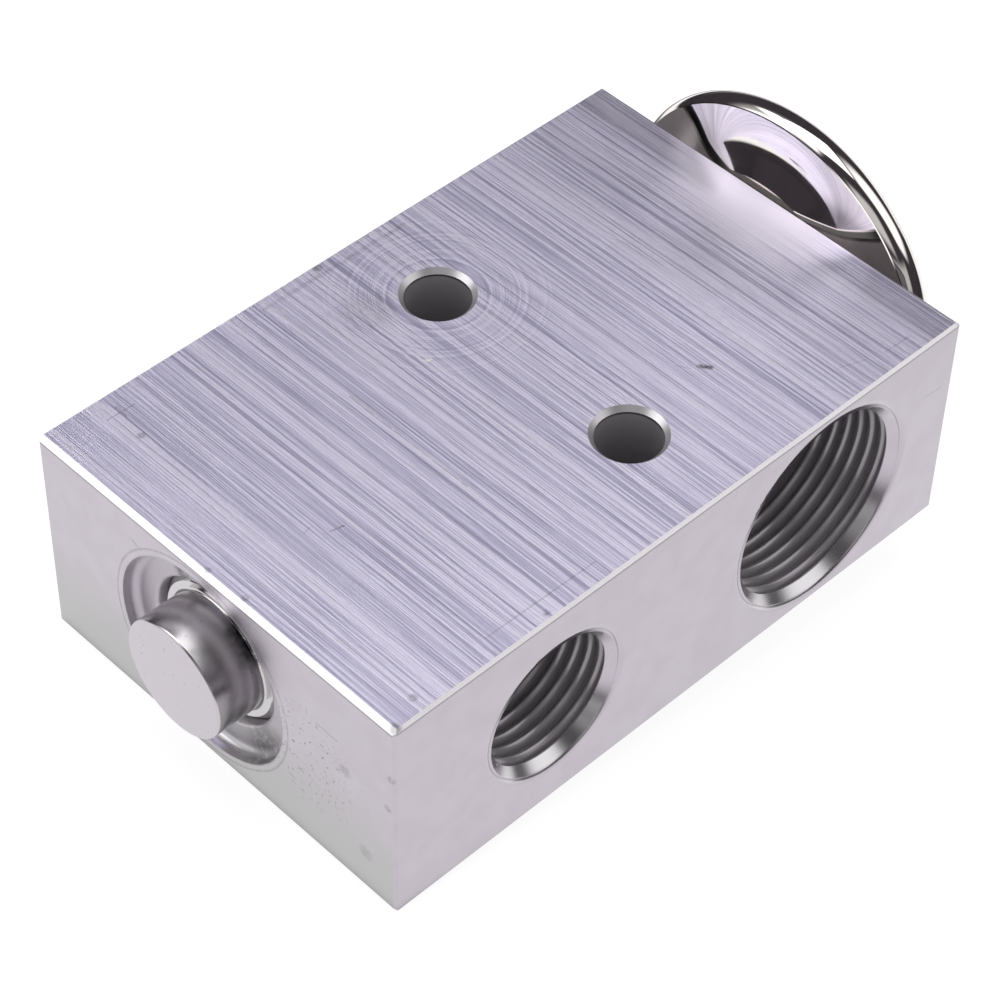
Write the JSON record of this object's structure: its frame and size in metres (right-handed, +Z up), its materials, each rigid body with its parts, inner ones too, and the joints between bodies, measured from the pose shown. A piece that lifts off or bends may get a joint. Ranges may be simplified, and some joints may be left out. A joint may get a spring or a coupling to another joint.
{
  "type": "expansion valve",
  "caption": "Block expansion valve with O-ring thread ports, adjusting plug, through bolt holes and a round polished power head, with the ball, spring, rod and diaphragm inside.",
  "frame": {"origin": "middle of the two mounting holes, on the bottom face of the block", "axes": "+X along the valve axis from the adjusting plug to the power head, +Y from the compressor-side ports to the evaporator side, +Z up through the thickness, along the mounting holes"},
  "size_m": [0.0875, 0.0476, 0.0392],
  "materials": {
    "block_alloy": "satin, brushed on the two large faces",
    "plug_metal": "turned, satin",
    "head_chrome": "polished",
    "ball_steel": "polished",
    "pin_steel": "ground",
    "rod_alloy": "turned",
    "carrier_brass": "turned",
    "spring_wire": "drawn",
    "diaphragm_steel": "rolled",
    "seal_rubber": "matte"
  },
  "bodies": {
    "valve": {"valve_body": "block_alloy", "adjusting_plug": "plug_metal", "plug_o_ring": "seal_rubber", "valve_spring": "spring_wire", "rod_seal": "seal_rubber", "seal_retainer": "spring_wire", "diaphragm": "diaphragm_steel", "lower_shell": "head_chrome", "upper_shell": "head_chrome", "charge_plug": "ball_steel", "head_gasket": "seal_rubber"},
    "stem_train": {"sensing_rod": "rod_alloy", "pressure_pad": "carrier_brass", "push_pin": "pin_steel", "valve_ball": "ball_steel", "ball_carrier": "carrier_brass", "damper_clip": "spring_wire"}
  },
  "joints": [
    {"name": "valve_stroke", "type": "slide", "parent": "valve", "child": "stem_train", "axis": [-1, 0, 0], "range_m": [0, 0.0008], "stiffness_N_per_m": 1500, "springref_m": -0.004, "deforming": ["valve_spring", "diaphragm"]}
  ]
}
